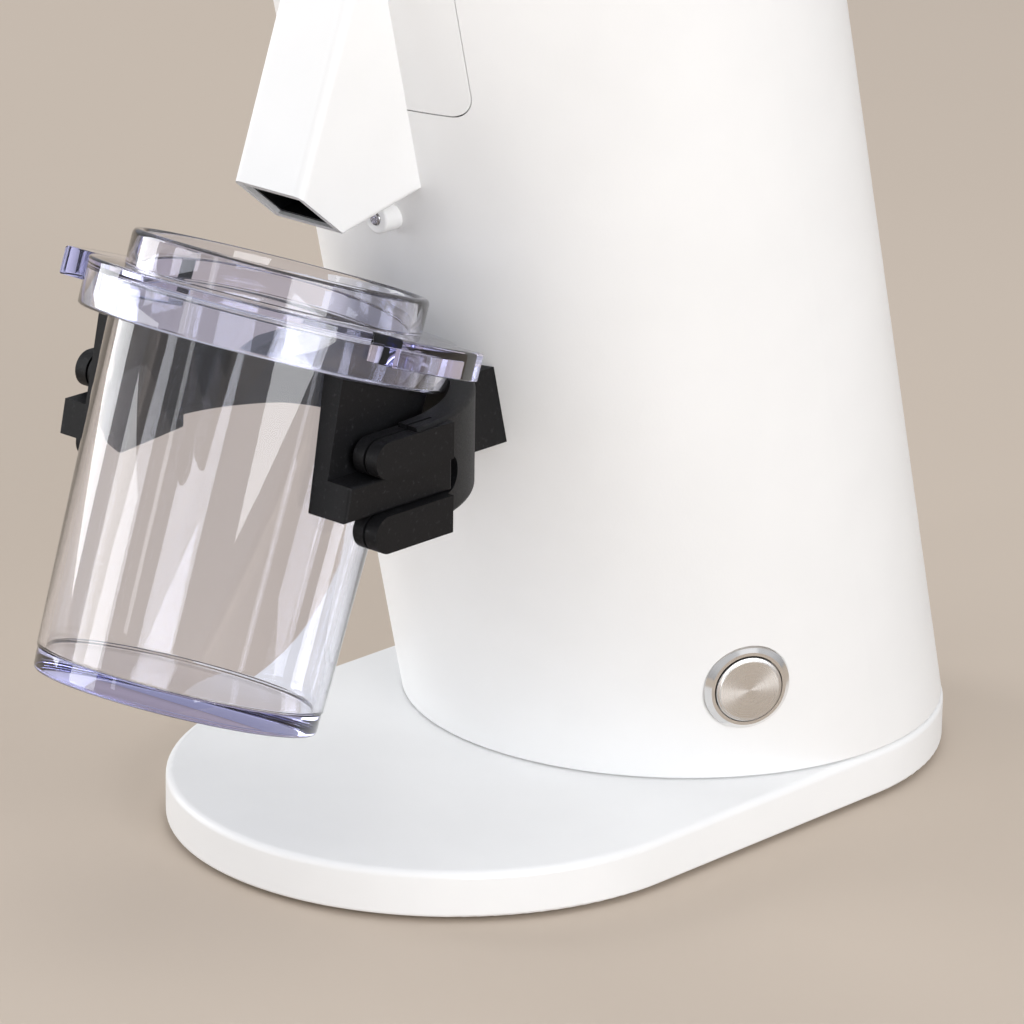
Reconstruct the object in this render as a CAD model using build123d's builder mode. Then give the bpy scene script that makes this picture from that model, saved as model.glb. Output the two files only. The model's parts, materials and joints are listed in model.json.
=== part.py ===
from build123d import *
import os
from math import atan, cos, radians, sin, sqrt

# Burr coffee grinder: a leaning round tower on a flat base, with a front fork that
# carries a clear dosing cup under an angular chute.
# Frame: X to the right seen from the front, -Y towards the front, +Z up.
# Origin: on the standing surface, at the centre of the tower's foot.

os.makedirs("parts", exist_ok=True)

# ---------------------------------------------------------------- driving dimensions
FIT = 0.05                 # radial clearance of bolts, shafts and bearings
GAP = 0.35                 # gap between covers and between moving curved faces

BASE_RADIUS = 75.0         # round ends of the base, half its width
BASE_STRAIGHT = 90.0       # distance between the centres of the two round ends
PAD_THICKNESS = 1.5
BASE_TOP = 14.0

TOWER_RADIUS = 74.5
WALL = 3.0
LEAN = 0.25                # forward lean of the tower, run over rise
LEAN_ANGLE = atan(LEAN)
LEAN_SIN = sin(LEAN_ANGLE)
LEAN_COS = cos(LEAN_ANGLE)
TOWER_LENGTH = 300.0       # along the lean
PLINTH_HEIGHT = 0.5
FLANGE_TOP = 20.0
FLANGE_BORE = 50.0

CUP_TILT = 19.68           # degrees, foot of the cup forward
CUP_FOOT = Vector(0, -191.1, 59.35)
CUP_FLOOR = 6.0
CUP_RADIUS = 36.9          # at the foot
CUP_DRAFT = 0.026          # radius gained per millimetre of height
CUP_WALL = 2.2
CUP_RIM = 100.9

RING_FOOT = 91.7
EAR_FOOT = 97.0
FLANGE_UNDERSIDE = 101.3
RING_SHOULDER = 104.3
COLLAR_TOP = 113.6
SKIRT_RADIUS = 47.5
COLLAR_RADIUS = 38.3
RING_WALL = 3.0
EAR_RADIUS = 56.0
EAR_HALF_WIDTH = 18.4
EAR_TURN = 8.0             # degrees the loose ring has been turned by hand

FORK_CENTRE_Y = -159.0
FORK_INNER = 46.5
FORK_OUTER = 53.0
FORK_FOOT = 110.0
FORK_TOP = 136.5
ARM_INNER = 45.5
ARM_OUTER = 53.5
ARM_TIP_Y = -174.0
ARM_ROOT_Y = -146.3
ARM_FOOT = 106.5
ARM_TOP = 135.4
SLOT_FOOT = 116.2
SLOT_TOP = 125.8
SLOT_END_Y = -141.0
STEM_HALF_WIDTH = 24.0
STEM_FOOT = 111.3
STEM_TOP = 132.7
STEM_BACK_Y = -60.0

HOLDER_RADIUS = 43.0
HOLDER_BORE = 39.8
HOLDER_FOOT = 116.5
HOLDER_TOP = 91.2          # along the cup's axis, just under the ring
BAR_OUTER = 51.0
BAR_TOP = 125.5
BAR_BACK_Y = -144.2
HOLDER_FRONT_LOW_Y = -182.2
HOLDER_FRONT_LEAN = 0.21

CHUTE_HALF_WIDTH = 12.0
CHUTE_WALL = 2.0
LINER_WALL = 1.0
CHUTE_LIP = (-158.7, 186.8)        # front edge of the outlet, as (y, z)
CHUTE_TIP = (-142.7, 174.0)        # lowest edge of the outlet
CHUTE_HEEL = (-112.0, 180.85)      # where its underside runs into the tower
CHUTE_LEAN = 0.36

PANEL_HALF_WIDTH = 30.0
PANEL_FOOT = 202.3
PANEL_TOP = 262.0
PANEL_CORNER = 6.0

BUTTON_ANGLE = -30.1       # degrees round the tower from +X
BUTTON_HEIGHT = 41.0
BUTTON_DROP = 3.5          # degrees the button faces below the horizontal
BEZEL_RADIUS = 11.8
BEZEL_THICKNESS = 2.2
BEZEL_BORE = 9.4
BARREL_RADIUS = 10.6
CAP_RADIUS = 9.05

INLET_HEIGHT = 42.0

MOTOR_RADIUS = 46.0
BURR_RADIUS = 32.0
BURR_BORE = 16.0
TOOTH_COUNT = 18


# ---------------------------------------------------------------- planes and helpers
def lean_y(z):
    """Y of the tower's centre line at height z."""
    return -LEAN * (z - BASE_TOP)


def tower_plane(along):
    """Plane square to the leaning axis, that far along it from the base's top."""
    origin = (0, -along * LEAN_SIN, BASE_TOP + along * LEAN_COS)
    return Plane(origin=origin, x_dir=(1, 0, 0), z_dir=(0, -LEAN_SIN, LEAN_COS))


CUP_SIN = sin(radians(CUP_TILT))
CUP_COS = cos(radians(CUP_TILT))
CUP_AXIS = Vector(0, CUP_SIN, CUP_COS)


def cup_plane(along):
    """Plane square to the cup's axis, that far up from the cup's underside."""
    return Plane(origin=CUP_FOOT + CUP_AXIS * along, x_dir=(1, 0, 0), z_dir=CUP_AXIS)


def cup_radius(along):
    """Outer radius of the cup's wall at a height along its axis."""
    return CUP_RADIUS + CUP_DRAFT * along


def disc(plane, radius, height, bore=0.0, mode=Mode.ADD):
    """Round plate or ring standing on a plane."""
    with BuildSketch(plane) as outline:
        Circle(radius)
        if bore > 0:
            Circle(bore, mode=Mode.SUBTRACT)
    extrude(outline.sketch, amount=height, mode=mode)


def studs(plane, circle, count, radius, height, start=0.0, mode=Mode.ADD):
    """Equal round studs or holes on a circle."""
    with BuildSketch(plane) as outline:
        with PolarLocations(circle, count, start_angle=start):
            Circle(radius)
    extrude(outline.sketch, amount=height, mode=mode)


def brick(plane, width, depth, height, at=(0, 0), mode=Mode.ADD):
    """Rectangular block standing on a plane."""
    with BuildSketch(plane) as outline:
        with Locations(at):
            Rectangle(width, depth)
    extrude(outline.sketch, amount=height, mode=mode)


def leaning(radius, low, high, mode=Mode.ADD):
    """Oblique round column that follows the tower between two heights."""
    with BuildSketch(Plane.XY.offset(low)) as outline:
        with Locations((0, lean_y(low))):
            Circle(radius)
    length = (high - low) / LEAN_COS
    extrude(outline.sketch, amount=length, dir=(0, -LEAN_SIN, LEAN_COS), mode=mode)


def side_profile(points, half_width, mode=Mode.ADD):
    """Prism across the symmetry plane, from an outline given as (y, z)."""
    with BuildSketch(Plane.YZ) as outline:
        Polygon(*points)
    extrude(outline.sketch, amount=half_width, both=True, mode=mode)


def finish(part, name):
    """Name a piece and write it to its own file."""
    part.part.label = name
    export_step(part.part, f"parts/{name}.step")


# ---------------------------------------------------------------- base
SCREW_CIRCLE = 60.0
BASE_SCREW = 2.5
BASE_HEAD = 4.5
BASE_HEAD_HEIGHT = 4.0
PAD_INSET = 5.0


def base_outline(inset, low, height, mode=Mode.ADD):
    """Stadium-shaped slab of the base's plan."""
    with BuildSketch(Plane.XY.offset(low)) as outline:
        with Locations((0, -BASE_STRAIGHT / 2)):
            SlotCenterToCenter(BASE_STRAIGHT, 2 * (BASE_RADIUS - inset), rotation=90)
    extrude(outline.sketch, amount=height, mode=mode)


with BuildPart() as foot_pad:
    base_outline(PAD_INSET, 0, PAD_THICKNESS)
finish(foot_pad, "foot_pad")

with BuildPart() as base_plate:
    base_outline(0, PAD_THICKNESS, BASE_TOP - PAD_THICKNESS)
    fillet(base_plate.edges().group_by(Axis.Z)[-1], radius=2.0)
    fillet(base_plate.edges().group_by(Axis.Z)[0], radius=0.8)
    under = Plane.XY.offset(PAD_THICKNESS)
    studs(under, SCREW_CIRCLE, 4, BASE_SCREW + FIT, BASE_TOP, 45, Mode.SUBTRACT)
    studs(under, SCREW_CIRCLE, 4, BASE_HEAD + 0.3, BASE_HEAD_HEIGHT + 0.5, 45, Mode.SUBTRACT)
finish(base_plate, "base_plate")

with BuildPart() as base_screws:
    under = Plane.XY.offset(PAD_THICKNESS + 0.5)
    studs(under, SCREW_CIRCLE, 4, BASE_HEAD, BASE_HEAD_HEIGHT, 45)
    studs(under, SCREW_CIRCLE, 4, BASE_SCREW, FLANGE_TOP - PAD_THICKNESS - 1.5, 45)
finish(base_screws, "base_screws")

# ---------------------------------------------------------------- tower shell
LEDGE_THICKNESS = 6.0
MOTOR_LEDGE = 140.0        # along the lean
CHAMBER_LEDGE = 200.0
DECK_LEDGE = 288.0
DECK_SCREW_CIRCLE = 65.5
DECK_SCREW_HEAD = 2.8
LEDGE_BORE = 57.0
INNER_RADIUS = TOWER_RADIUS - WALL
PLATE_SCREW_CIRCLE = 62.0
PLATE_SCREW = 2.0

button_direction = Vector(
    cos(radians(BUTTON_ANGLE)) * cos(radians(BUTTON_DROP)),
    sin(radians(BUTTON_ANGLE)) * cos(radians(BUTTON_DROP)),
    -sin(radians(BUTTON_DROP)),
)
button_seat = Vector(
    TOWER_RADIUS * cos(radians(BUTTON_ANGLE)),
    lean_y(BUTTON_HEIGHT) + TOWER_RADIUS * sin(radians(BUTTON_ANGLE)),
    BUTTON_HEIGHT,
) - button_direction * 0.9


def button_plane(along):
    """Plane square to the button's axis, outwards from its flat seat."""
    return Plane(
        origin=button_seat + button_direction * along,
        x_dir=button_direction.cross(Vector(0, 0, 1)),
        z_dir=button_direction,
    )


def inlet_plane(along):
    """Plane of the power inlet's flange, outwards from its flat seat at the back."""
    outward = Vector(0, LEAN_COS, LEAN_SIN)
    seat = Vector(0, lean_y(INLET_HEIGHT) + TOWER_RADIUS, INLET_HEIGHT) - outward * 1.6
    return Plane(origin=seat + outward * along, x_dir=(-1, 0, 0), z_dir=outward)


def front_opening(half_width, low, high, corner, mode=Mode.SUBTRACT):
    """Rounded opening through the tower's front wall only."""
    with BuildSketch(Plane.XZ.offset(80)) as outline:
        with Locations((0, (low + high) / 2)):
            RectangleRounded(2 * half_width, high - low, corner)
    extrude(outline.sketch, amount=100, mode=mode)


with BuildPart() as ledges:
    for along, bore in ((MOTOR_LEDGE, LEDGE_BORE), (CHAMBER_LEDGE, LEDGE_BORE), (DECK_LEDGE, 62.0)):
        disc(tower_plane(along), 85, LEDGE_THICKNESS, bore)
        studs(tower_plane(along), PLATE_SCREW_CIRCLE + (bore - LEDGE_BORE) * 0.7, 4,
              PLATE_SCREW + FIT, LEDGE_THICKNESS, 45, Mode.SUBTRACT)
    leaning(INNER_RADIUS + 0.5, BASE_TOP, 400, Mode.INTERSECT)

INLET_WIDTH = 31.0
INLET_DEPTH = 24.0
FORK_SCREW = 2.5
FORK_SCREW_X = 13.0
FORK_SCREW_Z = 122.0
STUD_HEIGHT = 171.0
STUD_SHANK = 2.5

with BuildPart() as tower_shell:
    leaning(TOWER_RADIUS - 1.0, BASE_TOP, BASE_TOP + PLINTH_HEIGHT)
    leaning(TOWER_RADIUS, BASE_TOP + PLINTH_HEIGHT, 400)
    leaning(INNER_RADIUS, FLANGE_TOP, 410, Mode.SUBTRACT)
    disc(Plane.XY.offset(BASE_TOP), FLANGE_BORE, FLANGE_TOP, mode=Mode.SUBTRACT)
    add(ledges.part)
    brick(inlet_plane(-WALL - 2.5), INLET_WIDTH + 8, INLET_DEPTH + 8, WALL + 0.9)
    split(bisect_by=tower_plane(TOWER_LENGTH), keep=Keep.BOTTOM)
    studs(Plane.XY.offset(BASE_TOP), SCREW_CIRCLE, 4, BASE_SCREW + FIT, 10, 45, Mode.SUBTRACT)
    front_opening(PANEL_HALF_WIDTH + GAP, PANEL_FOOT - GAP, PANEL_TOP + GAP, PANEL_CORNER + GAP)
    disc(button_plane(-15), BARREL_RADIUS + 0.1, 30, mode=Mode.SUBTRACT)
    disc(button_plane(0), BEZEL_RADIUS + 0.3, 15, mode=Mode.SUBTRACT)
    brick(inlet_plane(0), INLET_WIDTH + 0.6, INLET_DEPTH + 0.6, 10, mode=Mode.SUBTRACT)
    brick(inlet_plane(-15), 27.6, 20.4, 20, mode=Mode.SUBTRACT)
    for side in (-1, 1):
        with BuildSketch(Plane.XZ.offset(80)) as fork_hole:
            with Locations((side * FORK_SCREW_X, FORK_SCREW_Z)):
                Circle(FORK_SCREW + FIT)
        extrude(fork_hole.sketch, amount=60, mode=Mode.SUBTRACT)
    with BuildSketch(Plane.XZ.offset(100)) as stud_hole:
        with Locations((0, STUD_HEIGHT)):
            Circle(STUD_SHANK + FIT)
    extrude(stud_hole.sketch, amount=30, mode=Mode.SUBTRACT)
finish(tower_shell, "tower_shell")

# ---------------------------------------------------------------- front panel and its frame
WINDOW_HALF_WIDTH = 10.5
WINDOW_FOOT = 213.0        # along the lean
WINDOW_TOP = 231.0
FRAME_THICKNESS = 2.5
PANEL_SCREW = 1.5
PANEL_SCREW_X = 26.0
PANEL_SCREW_HEIGHTS = (236.0, 255.0)
CHUTE_SCREW_X = 6.0
CHUTE_SCREW_HEIGHT = 239.0


def chute_window(low, high):
    """Cut of the coffee's way through the wall, square to the leaning axis."""
    middle = (WINDOW_FOOT + WINDOW_TOP) / 2
    front = Plane(
        origin=tower_plane(middle).origin + Vector(0, -LEAN_COS, -LEAN_SIN) * low,
        x_dir=(1, 0, 0),
        z_dir=(0, -LEAN_COS, -LEAN_SIN),
    )
    brick(front, 2 * WINDOW_HALF_WIDTH, WINDOW_TOP - WINDOW_FOOT, high - low, mode=Mode.SUBTRACT)


def front_holes(x, z, radius, near, far, mode=Mode.SUBTRACT):
    """A mirrored pair of round holes or bolts along Y, between two y values."""
    with BuildSketch(Plane.XZ.offset(-near)) as outline:
        with Locations((x, z), (-x, z)):
            Circle(radius)
    extrude(outline.sketch, amount=near - far, mode=mode)


def wall_y(radius, x, z):
    """Y of the front of a leaning cylinder at x and z."""
    return lean_y(z) - sqrt(radius * radius - x * x)


with BuildPart() as front_panel:
    leaning(TOWER_RADIUS, PANEL_FOOT - 5, PANEL_TOP + 5)
    leaning(INNER_RADIUS, PANEL_FOOT - 8, PANEL_TOP + 8, Mode.SUBTRACT)
    front_opening(PANEL_HALF_WIDTH, PANEL_FOOT, PANEL_TOP, PANEL_CORNER, Mode.INTERSECT)
    chute_window(60, 80)
    for z in PANEL_SCREW_HEIGHTS:
        inside = wall_y(INNER_RADIUS, PANEL_SCREW_X, z)
        front_holes(PANEL_SCREW_X, z, PANEL_SCREW + FIT, inside + 3, inside - 1.4)
    front_holes(CHUTE_SCREW_X, CHUTE_SCREW_HEIGHT, PANEL_SCREW + FIT, -100, -160)
finish(front_panel, "front_panel")

FRAME_RADIUS = INNER_RADIUS - 0.1
with BuildPart() as panel_frame:
    leaning(FRAME_RADIUS, 200, 269)
    leaning(FRAME_RADIUS - FRAME_THICKNESS, 195, 275, Mode.SUBTRACT)
    front_opening(36, 200, 268, 6, Mode.INTERSECT)
    front_opening(20, 190, 249, 4)
    for z in PANEL_SCREW_HEIGHTS:
        front_holes(PANEL_SCREW_X, z, PANEL_SCREW + FIT, -90, -150)
finish(panel_frame, "panel_frame")

with BuildPart() as panel_screws:
    for z in PANEL_SCREW_HEIGHTS:
        inside = wall_y(INNER_RADIUS, PANEL_SCREW_X, z)
        head = inside + FRAME_THICKNESS + 2.0
        front_holes(PANEL_SCREW_X, z, PANEL_SCREW, head + 2, inside - 1.2, Mode.ADD)
        front_holes(PANEL_SCREW_X, z, 2.8, head + 2, head, Mode.ADD)
finish(panel_screws, "panel_screws")

# ---------------------------------------------------------------- chute
lip_y, lip_z = CHUTE_LIP
tip_y, tip_z = CHUTE_TIP
heel_y, heel_z = CHUTE_HEEL
CHUTE_CREST = 262.0


def chute_front(z, inset=0.0):
    """Y of the chute's front face, or of a line that far inside it."""
    return lip_y + inset * sqrt(1 + CHUTE_LEAN ** 2) + CHUTE_LEAN * (z - lip_z)


def chute_floor(y, inset=0.0):
    """Z of the chute's underside, or of a line that far above it."""
    slope = (heel_z - tip_z) / (heel_y - tip_y)
    return tip_z + inset * sqrt(1 + slope * slope) + slope * (y - tip_y)


def passage(inset, past_outlet):
    """Outline of the way through the chute, as (y, z)."""
    ceiling = 232.0 - inset
    mouth_y = -126.0
    window_low, window_high = 203.2, 221.0
    back = inset - TOWER_RADIUS - LEAN * -BASE_TOP
    return [
        (chute_front(lip_z - past_outlet, inset), lip_z - past_outlet),
        (chute_front(ceiling, inset), ceiling),
        (mouth_y, window_high - (inset - CHUTE_WALL)),
        (mouth_y + 14, window_high - (inset - CHUTE_WALL) - 1),
        (mouth_y + 14, window_low + (inset - CHUTE_WALL)),
        (-LEAN * window_low + back - 2 * inset, window_low + (inset - CHUTE_WALL)),
        (-LEAN * 182 + back - 2 * inset, chute_floor(-LEAN * 182 + back - 2 * inset, inset)),
        (tip_y - past_outlet, chute_floor(tip_y - past_outlet, inset)),
    ]


with BuildPart() as chute:
    side_profile(
        [CHUTE_LIP, CHUTE_TIP, CHUTE_HEEL, (-90, heel_z), (-90, CHUTE_CREST),
         (chute_front(CHUTE_CREST), CHUTE_CREST)],
        CHUTE_HALF_WIDTH,
    )
    front_edges = chute.edges().filter_by(
        lambda edge: abs(edge.center().Y - chute_front(edge.center().Z)) < 0.01
        and edge.length > 40
    )
    fillet(front_edges, radius=2.5)
    lower_edges = chute.edges().filter_by(
        lambda edge: abs(edge.center().Z - chute_floor(edge.center().Y)) < 0.01
        and edge.length > 20 and edge.center().Z < heel_z
    )
    fillet(lower_edges, radius=1.5)
    side_profile(passage(CHUTE_WALL, 8), CHUTE_HALF_WIDTH - CHUTE_WALL, Mode.SUBTRACT)
    leaning(TOWER_RADIUS, 150, 300, Mode.SUBTRACT)
    front_holes(CHUTE_SCREW_X, CHUTE_SCREW_HEIGHT, PANEL_SCREW + FIT, -100, -136.5)
finish(chute, "chute")

outlet_cut = Plane(
    origin=(0, (lip_y + tip_y) / 2, (lip_z + tip_z) / 2),
    x_dir=(1, 0, 0),
    z_dir=(0, tip_z - lip_z, -(tip_y - lip_y)),
)
with BuildPart() as chute_liner:
    side_profile(passage(CHUTE_WALL, 8), CHUTE_HALF_WIDTH - CHUTE_WALL)
    side_profile(
        passage(CHUTE_WALL + LINER_WALL, 9), CHUTE_HALF_WIDTH - CHUTE_WALL - LINER_WALL,
        Mode.SUBTRACT,
    )
    leaning(TOWER_RADIUS, 150, 300, Mode.SUBTRACT)
    split(bisect_by=outlet_cut.offset(-1.2), keep=Keep.BOTTOM)
finish(chute_liner, "chute_liner")

with BuildPart() as chute_screws:
    panel_inside = wall_y(INNER_RADIUS, CHUTE_SCREW_X, CHUTE_SCREW_HEIGHT)
    head = panel_inside + 1.2
    front_holes(CHUTE_SCREW_X, CHUTE_SCREW_HEIGHT, PANEL_SCREW, head + 2, -136, Mode.ADD)
    front_holes(CHUTE_SCREW_X, CHUTE_SCREW_HEIGHT, 2.8, head + 2, head, Mode.ADD)
finish(chute_screws, "chute_screws")

# ---------------------------------------------------------------- stud under the chute
stud_wall = wall_y(TOWER_RADIUS, 0, STUD_HEIGHT)


def y_rod(radius, near, far, z, mode=Mode.ADD):
    """Round rod along Y on the symmetry plane, between two y values."""
    with BuildSketch(Plane.XZ.offset(-near)) as outline:
        with Locations((0, z)):
            Circle(radius)
    extrude(outline.sketch, amount=near - far, mode=mode)


with BuildPart() as outlet_stud:
    y_rod(4.0, stud_wall + 2, stud_wall - 5.6, STUD_HEIGHT)
    fillet(outlet_stud.edges().sort_by(Axis.Y)[0], radius=0.8)
    leaning(TOWER_RADIUS, 150, 190, Mode.SUBTRACT)
    y_rod(STUD_SHANK, stud_wall + 9, stud_wall - 2, STUD_HEIGHT)
    y_rod(1.75 + FIT, stud_wall - 1.5, stud_wall - 8, STUD_HEIGHT, Mode.SUBTRACT)
finish(outlet_stud, "outlet_stud")

with BuildPart() as stud_pin:
    y_rod(1.75, stud_wall - 1.6, stud_wall - 6.0, STUD_HEIGHT)
    fillet(stud_pin.edges().sort_by(Axis.Y)[0], radius=0.5)
finish(stud_pin, "stud_pin")

with BuildPart() as stud_nut:
    with BuildSketch(Plane.XZ.offset(-(stud_wall + 7.3))) as nut_outline:
        with Locations((0, STUD_HEIGHT)):
            RegularPolygon(4.6, 6)
            Circle(STUD_SHANK + FIT, mode=Mode.SUBTRACT)
    extrude(nut_outline.sketch, amount=3.0)
finish(stud_nut, "stud_nut")

# ---------------------------------------------------------------- fork
GROOVE = 0.7


def arm_outline(inset):
    """Side view of both fingers of one fork arm, with round tips, pulled in by inset."""
    for low, high in ((ARM_FOOT, SLOT_FOOT), (SLOT_TOP, ARM_TOP)):
        radius = (high - low) / 2
        middle = (low + high) / 2
        with Locations(((ARM_TIP_Y + ARM_ROOT_Y + radius) / 2, middle)):
            Rectangle(ARM_ROOT_Y - ARM_TIP_Y - radius, 2 * (radius - inset))
        with Locations((ARM_TIP_Y + radius, middle)):
            Circle(radius - inset)


def on_both_sides(sketch_plane_x, outline, thickness, mode=Mode.ADD):
    """Extrude a side view outwards at +X and its mirror image at -X."""
    extrude(outline.sketch.moved(Location((sketch_plane_x, 0, 0))), amount=thickness, mode=mode)
    extrude(outline.sketch.moved(Location((-sketch_plane_x, 0, 0))), amount=-thickness, mode=mode)


with BuildSketch(Plane.YZ) as finger_view:
    arm_outline(0)
with BuildSketch(Plane.YZ) as groove_view:
    with Locations(((ARM_TIP_Y + ARM_ROOT_Y) / 2 - 5, (ARM_FOOT + ARM_TOP) / 2)):
        Rectangle(ARM_ROOT_Y - ARM_TIP_Y + 2, 40)
    with BuildSketch(Plane.YZ, mode=Mode.SUBTRACT):
        arm_outline(GROOVE)
with BuildSketch(Plane.YZ) as web_view:
    slot_radius = (SLOT_TOP - SLOT_FOOT) / 2
    slot_middle = (SLOT_TOP + SLOT_FOOT) / 2
    with Locations(((SLOT_END_Y - slot_radius - 190) / 2, slot_middle)):
        Rectangle(SLOT_END_Y - slot_radius + 190, 2 * slot_radius)
    with Locations((SLOT_END_Y - slot_radius, slot_middle)):
        Circle(slot_radius)

with BuildPart() as fork:
    with BuildSketch(Plane.XY.offset(FORK_FOOT)) as band:
        with Locations((0, FORK_CENTRE_Y)):
            Circle(FORK_OUTER)
        with Locations((0, FORK_CENTRE_Y - 50)):
            Rectangle(200, 100, mode=Mode.SUBTRACT)
    extrude(band.sketch, amount=FORK_TOP - FORK_FOOT)
    fillet(fork.edges().filter_by(GeomType.CIRCLE), radius=1.2)
    with BuildSketch(Plane.XY.offset(STEM_FOOT)) as stem:
        with Locations((0, (FORK_CENTRE_Y + 20 + STEM_BACK_Y) / 2)):
            Rectangle(2 * STEM_HALF_WIDTH, STEM_BACK_Y - FORK_CENTRE_Y - 20)
    extrude(stem.sketch, amount=STEM_TOP - STEM_FOOT)
    leaning(TOWER_RADIUS, 90, 150, Mode.SUBTRACT)
    disc(
        Plane(origin=(0, FORK_CENTRE_Y, 90), z_dir=(0, 0, 1)), FORK_INNER, 60, mode=Mode.SUBTRACT
    )
    on_both_sides(ARM_INNER, finger_view, ARM_OUTER - ARM_INNER)
    on_both_sides(30, web_view, 30, Mode.SUBTRACT)
    on_both_sides(ARM_INNER + 3.4, groove_view, 0.8, Mode.SUBTRACT)
    front_holes(FORK_SCREW_X, FORK_SCREW_Z, FORK_SCREW + FIT, -80, -110.5)
finish(fork, "fork")

PLATE_RADIUS = INNER_RADIUS - 0.1
with BuildPart() as fork_backing_plate:
    leaning(PLATE_RADIUS, 100, 144)
    leaning(PLATE_RADIUS - 2.5, 95, 150, Mode.SUBTRACT)
    with BuildSketch(Plane.XZ.offset(80)) as plate_view:
        with Locations((0, FORK_SCREW_Z)):
            RectangleRounded(46, 20, 4)
    extrude(plate_view.sketch, amount=60, mode=Mode.INTERSECT)
    front_holes(FORK_SCREW_X, FORK_SCREW_Z, FORK_SCREW + FIT, -70, -130)
finish(fork_backing_plate, "fork_backing_plate")

with BuildPart() as fork_screws:
    head_y = wall_y(PLATE_RADIUS - 2.5, FORK_SCREW_X, FORK_SCREW_Z) + 2.3
    front_holes(FORK_SCREW_X, FORK_SCREW_Z, FORK_SCREW, head_y, -110, Mode.ADD)
    front_holes(FORK_SCREW_X, FORK_SCREW_Z, 4.5, head_y + 3.5, head_y, Mode.ADD)
finish(fork_screws, "fork_screws")

# ---------------------------------------------------------------- cup holder
holder_top_front = HOLDER_FRONT_LOW_Y + HOLDER_FRONT_LEAN * 60
with BuildPart() as cup_holder:
    with BuildSketch(cup_plane(30)) as sleeve:
        Circle(HOLDER_RADIUS)
        with Locations((0, -30)):
            Rectangle(2 * HOLDER_RADIUS, 60)
    extrude(sleeve.sketch, amount=HOLDER_TOP - 30)
    side_profile(
        [(HOLDER_FRONT_LOW_Y, HOLDER_FOOT), (-80, HOLDER_FOOT), (-80, HOLDER_FOOT + 60),
         (holder_top_front, HOLDER_FOOT + 60)],
        60, Mode.INTERSECT,
    )
    side_profile(
        [(HOLDER_FRONT_LOW_Y, HOLDER_FOOT), (BAR_BACK_Y, HOLDER_FOOT), (BAR_BACK_Y, BAR_TOP),
         (HOLDER_FRONT_LOW_Y + HOLDER_FRONT_LEAN * (BAR_TOP - HOLDER_FOOT), BAR_TOP)],
        BAR_OUTER,
    )
    disc(cup_plane(20), HOLDER_BORE, 100, mode=Mode.SUBTRACT)
    bar_edges = cup_holder.edges().filter_by(lambda edge: abs(edge.center().X) > BAR_OUTER - 0.01)
    fillet(bar_edges, radius=0.8)
finish(cup_holder, "cup_holder")

# ---------------------------------------------------------------- cup
cup_axis = Axis(CUP_FOOT, CUP_AXIS)
with BuildPart() as cup_base:
    with BuildSketch(cup_plane(0)) as cup_foot:
        Circle(cup_radius(0))
    with BuildSketch(cup_plane(CUP_FLOOR)) as cup_floor:
        Circle(cup_radius(CUP_FLOOR))
    loft([cup_foot.sketch, cup_floor.sketch])
    fillet(cup_base.edges().sort_by(cup_axis)[0], radius=1.2)
finish(cup_base, "cup_base")


def cup_cone(low, high, wall, mode=Mode.ADD):
    """Tapered column inside the cup's outer surface by the wall's thickness."""
    with BuildSketch(cup_plane(low)) as lower:
        Circle(cup_radius(low) - wall)
    with BuildSketch(cup_plane(high)) as upper:
        Circle(cup_radius(high) - wall)
    loft([lower.sketch, upper.sketch], mode=mode)


with BuildPart() as cup_tube:
    cup_cone(CUP_FLOOR, CUP_RIM, 0)
    cup_cone(CUP_FLOOR - 1, CUP_RIM + 1, CUP_WALL, Mode.SUBTRACT)
finish(cup_tube, "cup_tube")

# ---------------------------------------------------------------- dosing ring
LIP_RADIUS = 41.9
with BuildPart() as dosing_ring:
    disc(cup_plane(RING_FOOT), SKIRT_RADIUS, RING_SHOULDER - RING_FOOT)
    with BuildSketch(cup_plane(EAR_FOOT)) as ears:
        Circle(EAR_RADIUS)
        Rectangle(3 * EAR_RADIUS, 2 * EAR_HALF_WIDTH, rotation=EAR_TURN, mode=Mode.INTERSECT)
    extrude(ears.sketch, amount=RING_SHOULDER - EAR_FOOT)
    disc(cup_plane(RING_SHOULDER), COLLAR_RADIUS, COLLAR_TOP - RING_SHOULDER)
    round_edges = dosing_ring.edges().filter_by(GeomType.CIRCLE).filter_by(
        lambda edge: edge.length > 6 * COLLAR_RADIUS
    )
    fillet(round_edges.sort_by(cup_axis)[-1], radius=0.7)
    fillet(round_edges.sort_by(cup_axis)[0], radius=0.7)
    disc(cup_plane(RING_FOOT - 1), COLLAR_RADIUS - RING_WALL, 30, mode=Mode.SUBTRACT)
    disc(cup_plane(RING_FOOT - 1), SKIRT_RADIUS - RING_WALL, FLANGE_UNDERSIDE - RING_FOOT + 1,
         bore=LIP_RADIUS, mode=Mode.SUBTRACT)
    disc(cup_plane(RING_FOOT - 1), cup_radius(CUP_RIM) + GAP, FLANGE_UNDERSIDE - RING_FOOT + 1,
         mode=Mode.SUBTRACT)
finish(dosing_ring, "dosing_ring")

# ---------------------------------------------------------------- push button
BEZEL_BEVEL = 1.5
BARREL_LENGTH = 15.0
SHOULDER_DEPTH = 5.0
BUTTON_STEM = 3.5
CAP_PROUD = 0.9
NUT_FACE = 5.2
SWITCH_RADIUS = 9.2
button_axis = Axis(button_seat, button_direction)

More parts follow.
